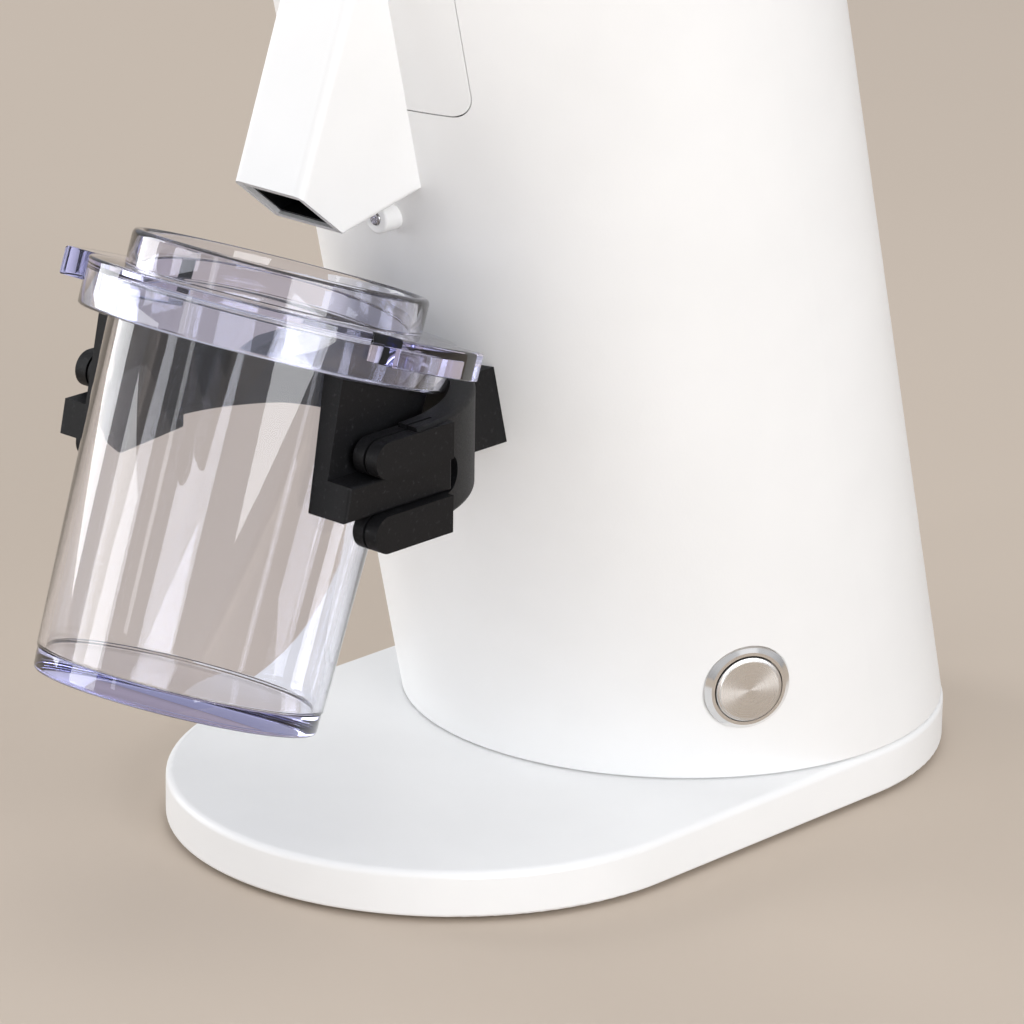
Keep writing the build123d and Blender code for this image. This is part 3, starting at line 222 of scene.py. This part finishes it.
def moulded_black(name, roughness):
    """Black moulded plastic with a spark-eroded grain and faint pale flecks."""
    tone = 0.006
    look = Look(name, (tone, tone, tone * 1.15), roughness, Specular_IOR_Level=0.2)
    grain = look.noise(2600, 3.0, 0.7)
    flecks = look.noise(900, 1.0)
    look.tint(flecks, (tone, tone, tone * 1.15), (tone * 4, tone * 4, tone * 4.4), 0.62, 0.86)
    look.rough(grain, roughness - 0.06, roughness + 0.1)
    look.bump((look.noise(700, 2.0), 0.00003, 0.4), (grain, 0.00005, 0.7))
    return look.material


def clear_plastic(name, density):
    """Clear moulded plastic; a long way through it looks violet blue."""
    look = Look(name, (0.965, 0.97, 1.0), 0.015, Transmission_Weight=1.0, IOR=1.49)
    smear = look.noise(90, 2.0)
    look.rough(smear, 0.0, 0.03)
    look.bump((look.noise(60, 1.0), 0.0002, 0.06))
    body = look.add("ShaderNodeVolumeAbsorption")
    body.inputs["Color"].default_value = (0.50, 0.50, 0.93, 1.0)
    body.inputs["Density"].default_value = density
    look.link(body.outputs["Volume"], look.tree.nodes["Material Output"].inputs["Volume"])
    return look.material


def turned_steel(name, centre, axis, roughness, anisotropy):
    """Steel faced on a lathe, with marks round its own axis."""
    look = Look(name, (0.78, 0.765, 0.75), roughness, 1.0, Anisotropic=anisotropy)
    tangent, radius = look.about_axis(centre, axis)
    look.link(tangent, look.shader.inputs["Tangent"])
    marks = look.rings(radius, 9000)
    look.tint(marks, (0.72, 0.705, 0.69), (0.84, 0.825, 0.81))
    look.rough(marks, roughness - 0.05, roughness + 0.07)
    look.bump((marks, 0.000004, 0.5))
    return look.material


def machined(name, colour, roughness=0.3, metallic=1.0):
    """Machined metal with fine scratches and slight stains."""
    look = Look(name, colour, roughness, metallic)
    stain = look.noise(60, 4.0)
    dark = tuple(channel * 0.85 for channel in colour)
    light = tuple(min(channel * 1.12, 1.0) for channel in colour)
    look.tint(stain, dark, light)
    look.rough(look.noise(1800, 2.0), roughness - 0.08, roughness + 0.12)
    look.bump((look.noise(2500, 2.0), 0.00001, 0.5))
    return look.material


def rubber():
    """Dull black rubber."""
    look = Look("soft_rubber", (0.02, 0.02, 0.02), 0.8)
    dust = look.noise(150, 4.0)
    look.tint(dust, (0.016, 0.016, 0.016), (0.035, 0.034, 0.033))
    look.rough(dust, 0.72, 0.9)
    look.bump((look.noise(3000, 2.0), 0.00004, 0.7))
    return look.material


def laminated():
    """Stack of thin core sheets, seen edge on as fine lines square to the tower's axis."""
    look = Look("laminated_core", (0.20, 0.20, 0.21), 0.45, 0.9)
    height = look.vector("DOT_PRODUCT", look.place, LEAN_AXIS).outputs["Value"]
    line = look.add("ShaderNodeCombineXYZ")
    look.link(height, line.inputs["X"])
    wave = look.add("ShaderNodeTexWave", wave_type="BANDS")
    wave.inputs["Scale"].default_value = 320
    look.link(line.outputs["Vector"], wave.inputs["Vector"])
    look.tint(wave.outputs["Fac"], (0.12, 0.12, 0.13), (0.30, 0.30, 0.31))
    look.bump((wave.outputs["Fac"], 0.0001, 0.6))
    return look.material


def windings():
    """Enamelled copper wire laid round the core."""
    look = Look("enamelled_copper", (0.55, 0.20, 0.07), 0.3, 0.8)
    _, radius = look.about_axis(TOWER_FOOT, LEAN_AXIS)
    strands = look.rings(radius, 1600)
    look.tint(strands, (0.40, 0.13, 0.04), (0.70, 0.28, 0.11))
    look.bump((strands, 0.0003, 0.8))
    return look.material


def circuit_board():
    """Green solder mask over faint tracks."""
    look = Look("solder_mask", (0.01, 0.12, 0.06), 0.3)
    tracks = look.add("ShaderNodeTexVoronoi", distance="MANHATTAN")
    tracks.inputs["Scale"].default_value = 260
    look.link(look.place, tracks.inputs["Vector"])
    look.tint(tracks.outputs["Distance"], (0.012, 0.20, 0.10), (0.006, 0.09, 0.045), 0.2, 0.5)
    look.bump((tracks.outputs["Distance"], 0.00005, 0.4))
    return look.material


WHITE = powder_coat()
BLACK = moulded_black("moulded_black", 0.52)
LINER_BLACK = moulded_black("liner_black", 0.4)
CLEAR = clear_plastic("clear_plastic", 14.0)
RING_CLEAR = clear_plastic("clear_ring", 26.0)
SMOKE = clear_plastic("clear_hopper", 6.0)
CAP_STEEL = turned_steel("cap_steel", BUTTON_CENTRE, BUTTON_AXIS, 0.27, 0.85)
BEZEL_STEEL = turned_steel("bezel_steel", BUTTON_CENTRE, BUTTON_AXIS, 0.14, 0.5)
PIN_STEEL = machined("pin_steel", (0.42, 0.42, 0.44), 0.25)
SCREW_STEEL = machined("screw_steel", (0.50, 0.50, 0.51), 0.3)
SHAFT_STEEL = machined("shaft_steel", (0.60, 0.60, 0.61), 0.2)
BURR_STEEL = machined("burr_steel", (0.46, 0.46, 0.48), 0.32)
ALUMINIUM = machined("cast_aluminium", (0.66, 0.67, 0.68), 0.35)
ANODISED = machined("black_anodised", (0.025, 0.025, 0.028), 0.42, 0.6)
BRASS = machined("contact_brass", (0.75, 0.56, 0.26), 0.25)
RUBBER = rubber()
CORE = laminated()
COPPER = windings()
BOARD = circuit_board()

FINISHES = {
    "white_coat": WHITE,
    "black_plastic": BLACK,
    "clear_plastic": CLEAR,
    "turned_steel": BEZEL_STEEL,
    "screw_steel": SCREW_STEEL,
    "shaft_steel": SHAFT_STEEL,
    "burr_steel": BURR_STEEL,
    "core_steel": CORE,
    "cast_aluminium": ALUMINIUM,
    "black_anodised": ANODISED,
    "copper_wire": COPPER,
    "contact_brass": BRASS,
    "soft_rubber": RUBBER,
    "board_green": BOARD,
    "board_black": LINER_BLACK,
}
SPECIAL = {
    "chute_liner": LINER_BLACK,
    "stud_pin": PIN_STEEL,
    "hopper": SMOKE,
    "hopper_throat": SMOKE,
    "lid": SMOKE,
    "lid_knob": ANODISED,
}


def dress_nodes():
    """Gives every CAD node its finish by its material slot in the record."""
    slots = {part["node"]: part["material_slot"] for part in frame["record"]["subparts"]}
    for name, node in nodes.items():
        finish = SPECIAL.get(name, FINISHES[slots[name]])
        node.data.materials.clear()
        node.data.materials.append(finish)


dress_nodes()


# ---------------------------------------------------------------- turned pieces
ARC_STEPS = 6                               # parts of each rounded corner
LATHE_STEPS = 256                           # parts of a full turn


def rounded(corners):
    """Outline through (radius, along, rounding) corners, each rounded by an arc."""
    points = [Vector(corner[:2]) for corner in corners]
    outline = []
    for index, (point, corner) in enumerate(zip(points, corners)):
        rounding = corner[2]
        if rounding == 0:
            outline.append(point)
            continue
        before = (points[index - 1] - point).normalized()
        after = (points[(index + 1) % len(points)] - point).normalized()
        opening = before.angle(after)
        reach = rounding / tan(opening / 2)
        middle = (before + after).normalized() * (rounding / sin(opening / 2))
        centre = point + middle
        start = point + before * reach - centre
        end = point + after * reach - centre
        sweep = pi - opening
        for step in range(ARC_STEPS + 1):
            share = step / ARC_STEPS
            arm = (start * sin((1 - share) * sweep) + end * sin(share * sweep)) / sin(sweep)
            outline.append(centre + arm)
    return outline


def lathe(name, corners, foot, axis, material):
    """Solid of revolution; corners are millimetres, (radius, along the axis, rounding)."""
    outline = rounded(corners)
    closed = outline[0].x > 0
    side = axis.orthogonal().normalized()
    across = axis.cross(side)
    work = bmesh.new()
    rings = []
    for point in outline:
        centre = foot + axis * point.y * MM
        if point.x < 1e-6:
            rings.append([work.verts.new(centre)] * LATHE_STEPS)
            continue
        ring = []
        for step in range(LATHE_STEPS):
            angle = 2 * pi * step / LATHE_STEPS
            arm = side * cos(angle) + across * sin(angle)
            ring.append(work.verts.new(centre + arm * point.x * MM))
        rings.append(ring)
    pairs = list(zip(rings, rings[1:] + rings[:1]))
    if not closed:
        pairs = pairs[:-1]
    for lower, upper in pairs:
        for step in range(LATHE_STEPS):
            after = (step + 1) % LATHE_STEPS
            corner_list = [lower[step], lower[after], upper[after], upper[step]]
            work.faces.new(list(dict.fromkeys(corner_list)))
    bmesh.ops.recalc_face_normals(work, faces=work.faces)
    return to_object(name, work, material)


def to_object(name, work, material):
    """Turns a bmesh into a smooth-shaded object with crisp edges."""
    mesh = bpy.data.meshes.new(name)
    work.to_mesh(mesh)
    work.free()
    mesh.shade_smooth()
    mesh.set_sharp_from_angle(angle=radians(40))
    mesh.materials.append(material)
    piece = bpy.data.objects.new(name, mesh)
    bpy.context.collection.objects.link(piece)
    return piece


def cup_radius(along):
    """Outer radius of the cup that far up its axis."""
    return CUP_FOOT_RADIUS + CUP_DRAFT * along


def cup():
    """Clear tube bonded to a thick clear foot, with a fine line at the joint."""
    joint = CUP_FLOOR + JOINT_GAP
    corners = [
        (0, 0, 0),
        (cup_radius(0) - 0.3, 0, 1.3),
        (cup_radius(CUP_FLOOR) - 0.3, CUP_FLOOR - JOINT_GAP, 0.2),
        (cup_radius(CUP_FLOOR) - 0.6, CUP_FLOOR, 0),
        (cup_radius(joint), joint, 0.15),
        (cup_radius(CUP_RIM), CUP_RIM, 0.7),
        (cup_radius(CUP_RIM) - CUP_WALL, CUP_RIM, 0.7),
        (cup_radius(CUP_FLOOR) - CUP_WALL, CUP_FLOOR, 0.8),
        (0, CUP_FLOOR, 0),
    ]
    piece = lathe("dosing_cup", corners, CUP_FOOT, CUP_AXIS, CLEAR)
    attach(piece, "cup")
    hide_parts("cup_base", "cup_tube")


# ---------------------------------------------------------------- dosing ring
EAR_STEPS = 28
PLAIN_STEPS = 90


def ring_section(has_ear):
    """Outline of the ring's wall; sections with and without an ear match point for point."""
    below = [
        (RING_BORE, RING_UNDERSIDE, 0.4), (LIP_INNER, RING_UNDERSIDE, 0.3),
        (LIP_INNER, RING_FOOT, 0.6), (LIP_OUTER, RING_FOOT, 0.6),
        (LIP_OUTER, RING_UNDERSIDE, 0.4), (SKIRT_INNER, RING_UNDERSIDE, 0.4),
        (SKIRT_INNER, RING_FOOT, 0.8), (SKIRT_RADIUS, RING_FOOT, 1.0),
        (SKIRT_RADIUS, EAR_FOOT, 0),
    ]
    ear = [(EAR_RADIUS, EAR_FOOT, 0.5), (EAR_RADIUS, RING_SHOULDER, 0.8)]
    plain = [(SKIRT_RADIUS, RING_SHOULDER, 0.8)]
    above = [
        (COLLAR_RADIUS, RING_SHOULDER, 0.5), (COLLAR_RADIUS, RING_TOP, 1.4),
        (RING_BORE, RING_TOP, 1.2),
    ]
    if has_ear:
        return rounded(below + ear + above)
    outline = rounded(below + plain + above)
    root = (len(below) - 1) * (ARC_STEPS + 1)
    return outline[:root + 1] + [outline[root]] * (ARC_STEPS + 1) + outline[root + 1:]


def ring_sections():
    """(nominal angle from the ear's middle, ear's middle, outline) all the way round."""
    half = asin(EAR_HALF_WIDTH / SKIRT_RADIUS)
    for middle in (EAR_TURN, EAR_TURN + pi):
        for step in range(EAR_STEPS + 1):
            yield half * (2 * step / EAR_STEPS - 1), middle, ring_section(True)
        for step in range(PLAIN_STEPS + 1):
            yield half + (pi - 2 * half) * step / PLAIN_STEPS, middle, ring_section(False)


def ring():
    """Clear ring: lipped skirt, flange with two ears, and a thick collar with a round rim."""
    side = Vector((1, 0, 0))
    across = CUP_AXIS.cross(side)
    work = bmesh.new()
    rows = []
    for offset, middle, outline in ring_sections():
        row = []
        for radius, along in outline:
            angle = middle + offset
            if radius > SKIRT_RADIUS + 0.01:
                angle = middle + asin(sin(offset) * SKIRT_RADIUS / radius)
            arm = side * cos(angle) + across * sin(angle)
            row.append(work.verts.new(CUP_FOOT + (CUP_AXIS * along + arm * radius) * MM))
        rows.append(row)
    for row, after in zip(rows, rows[1:] + rows[:1]):
        for index in range(len(row)):
            other = (index + 1) % len(row)
            work.faces.new([row[index], after[index], after[other], row[other]])
    bmesh.ops.remove_doubles(work, verts=work.verts, dist=1e-6)
    bmesh.ops.dissolve_degenerate(work, edges=work.edges, dist=1e-6)
    bmesh.ops.recalc_face_normals(work, faces=work.faces)
    piece = to_object("clear_ring", work, RING_CLEAR)
    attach(piece, "ring")
    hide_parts("dosing_ring")


# ---------------------------------------------------------------- button cap
def cap():
    """Steel cap whose face stands one fine step above its edge."""
    corners = [
        (0, CAP_STEM_END, 0), (CAP_STEM_RADIUS, CAP_STEM_END, 0.4),
        (CAP_STEM_RADIUS, CAP_SHOULDER, 0), (CAP_RADIUS, CAP_SHOULDER, 0.3),
        (CAP_RADIUS, CAP_TOP - 0.45, 0.3), (CAP_RADIUS - 0.75, CAP_TOP - 0.25, 0.1),
        (CAP_RADIUS - 0.85, CAP_TOP, 0.15), (0, CAP_TOP, 0),
    ]
    piece = lathe("steel_cap", corners, BUTTON_SEAT, BUTTON_AXIS, CAP_STEEL)
    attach(piece, "button")
    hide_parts("button_cap")


# ---------------------------------------------------------------- dial marks
TICK_COUNT = 48
TICK_STEPS = 4
TICK_HALF_ANGLE = 0.0065                    # radians
LONG_TICK = 5.0
SHORT_TICK = 2.6
TICK_DROP = 1.8                             # below the dial's top
TICK_SINK = 0.3
TICK_RISE = 0.12


def tower_point(radius, angle, along):
    """Point at millimetres along the tower's axis; angle 0 faces the chute."""
    front = Vector((0, -cos(LEAN_ANGLE), -sin(LEAN_ANGLE)))
    arm = front * cos(angle) + Vector((1, 0, 0)) * sin(angle)
    return TOWER_FOOT + LEAN_AXIS * along * MM + arm * radius * MM


def raised_mark(work, centre, half_angle, low, high, inner, outer):
    """One rounded bar that stands proud of a round wall about the tower's axis."""
    rows = []
    for step in range(TICK_STEPS + 1):
        across = 2 * step / TICK_STEPS - 1
        angle = centre + half_angle * across
        crown = outer - (outer - inner) * 0.5 * across ** 2
        rows.append([
            work.verts.new(tower_point(inner, angle, low)),
            work.verts.new(tower_point(crown, angle, low)),
            work.verts.new(tower_point(crown, angle, high)),
            work.verts.new(tower_point(inner, angle, high)),
        ])
    for before, after in zip(rows, rows[1:]):
        for corner in range(4):
            other = (corner + 1) % 4
            work.faces.new([before[corner], after[corner], after[other], before[other]])
    work.faces.new(rows[0])
    work.faces.new(rows[-1][::-1])


def dial_marks():
    """Scale of raised white marks on the dial, every fourth one long."""
    work = bmesh.new()
    top = DIAL_FOOT + DIAL_HEIGHT - TICK_DROP
    inner, outer = DIAL_RADIUS - TICK_SINK, DIAL_RADIUS + TICK_RISE
    for index in range(TICK_COUNT):
        angle = 2 * pi * (index + 0.5) / TICK_COUNT
        length = LONG_TICK if index % 4 == 0 else SHORT_TICK
        raised_mark(work, angle, TICK_HALF_ANGLE, top - length, top, inner, outer)
    bmesh.ops.recalc_face_normals(work, faces=work.faces)
    piece = to_object("dial_marks", work, WHITE)
    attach(piece, "dial")


cup()
ring()
cap()
dial_marks()


# ---------------------------------------------------------------- stage, light and camera
def floor():
    """Plain beige floor, large enough for every view."""
    mesh = bpy.data.meshes.new("floor")
    half = 6.0
    mesh.from_pydata(
        [(-half, -half, 0), (half, -half, 0), (half, half, 0), (-half, half, 0)], [], [(0, 1, 2, 3)]
    )
    plane = bpy.data.objects.new("floor", mesh)
    bpy.context.collection.objects.link(plane)
    look = Look("floor", (0.57, 0.487, 0.405), 0.9)
    look.tint(look.noise(3, 2.0), (0.565, 0.482, 0.40), (0.575, 0.492, 0.41))
    look.set("Specular IOR Level", 0.1)
    mesh.materials.append(look.material)


def softbox(name, place, target, size, power, height=None):
    """Rectangular area light that faces a target."""
    light = bpy.data.lights.new(name, "AREA")
    light.shape = "RECTANGLE"
    light.size = size
    light.size_y = height or size
    light.energy = power
    light.color = (0.97, 0.985, 1.01)
    lamp = bpy.data.objects.new(name, light)
    lamp.location = place
    aim = Vector(target) - Vector(place)
    lamp.rotation_euler = aim.to_track_quat("-Z", "Y").to_euler()
    bpy.context.collection.objects.link(lamp)


def lights():
    """Soft light from above, a key from the right and strip boxes that show in the clear parts."""
    centre = (0, -0.08, 0.15)
    softbox("top_box", (0.3, 0.2, 2.3), centre, 2.8, 9)
    softbox("key_box", (2.2, -0.9, 0.85), centre, 1.3, 38)
    softbox("left_box", (-2.1, -0.6, 0.6), centre, 0.9, 24, 1.4)
    softbox("low_fill", (-1.3, -1.9, 0.3), centre, 1.0, 9, 0.5)
    softbox("front_strip", (-0.25, -2.0, 0.9), centre, 0.12, 1.6, 1.2)


def surroundings():
    """Pale world, brighter towards the zenith, and colours shown as they are."""
    world = bpy.data.worlds.new("studio")
    world.use_nodes = True
    tree = world.node_tree
    sky = tree.nodes["Background"]
    sky.inputs["Strength"].default_value = 0.80
    place = tree.nodes.new("ShaderNodeTexCoord")
    height = tree.nodes.new("ShaderNodeSeparateXYZ")
    ramp = tree.nodes.new("ShaderNodeValToRGB")
    ramp.color_ramp.elements[0].position = 0.05
    ramp.color_ramp.elements[0].color = (0.55, 0.555, 0.58, 1)
    ramp.color_ramp.elements[1].position = 0.45
    ramp.color_ramp.elements[1].color = (0.80, 0.81, 0.84, 1)
    tree.links.new(place.outputs["Generated"], height.inputs["Vector"])
    tree.links.new(height.outputs["Z"], ramp.inputs["Fac"])
    tree.links.new(ramp.outputs["Color"], sky.inputs["Color"])
    bpy.context.scene.world = world
    bpy.context.scene.view_settings.view_transform = "Standard"


CAMERA_PLACE = (1.0161746, -1.1762706, 0.5960937)
CAMERA_AZIMUTH = radians(42.4737)
CAMERA_ELEVATION = radians(18.9509)
CAMERA_ROLL = radians(0.8456)
CAMERA_LENS = 210.94


def camera():
    """Long lens at the angle of the reference view."""
    back = Vector((
        sin(CAMERA_AZIMUTH) * cos(CAMERA_ELEVATION),
        -cos(CAMERA_AZIMUTH) * cos(CAMERA_ELEVATION),
        sin(CAMERA_ELEVATION),
    ))
    level = Vector((cos(CAMERA_AZIMUTH), sin(CAMERA_AZIMUTH), 0))
    over = back.cross(level)
    right = level * cos(CAMERA_ROLL) + over * sin(CAMERA_ROLL)
    up = over * cos(CAMERA_ROLL) - level * sin(CAMERA_ROLL)
    turn = Matrix((right, up, back)).transposed().to_4x4()
    data = bpy.data.cameras.new("camera")
    data.lens = CAMERA_LENS
    data.sensor_width = 36
    data.clip_start = 0.05
    data.clip_end = 30
    eye = bpy.data.objects.new("camera", data)
    eye.matrix_world = Matrix.Translation(CAMERA_PLACE) @ turn
    bpy.context.collection.objects.link(eye)
    bpy.context.scene.camera = eye


floor()
lights()
surroundings()
camera()
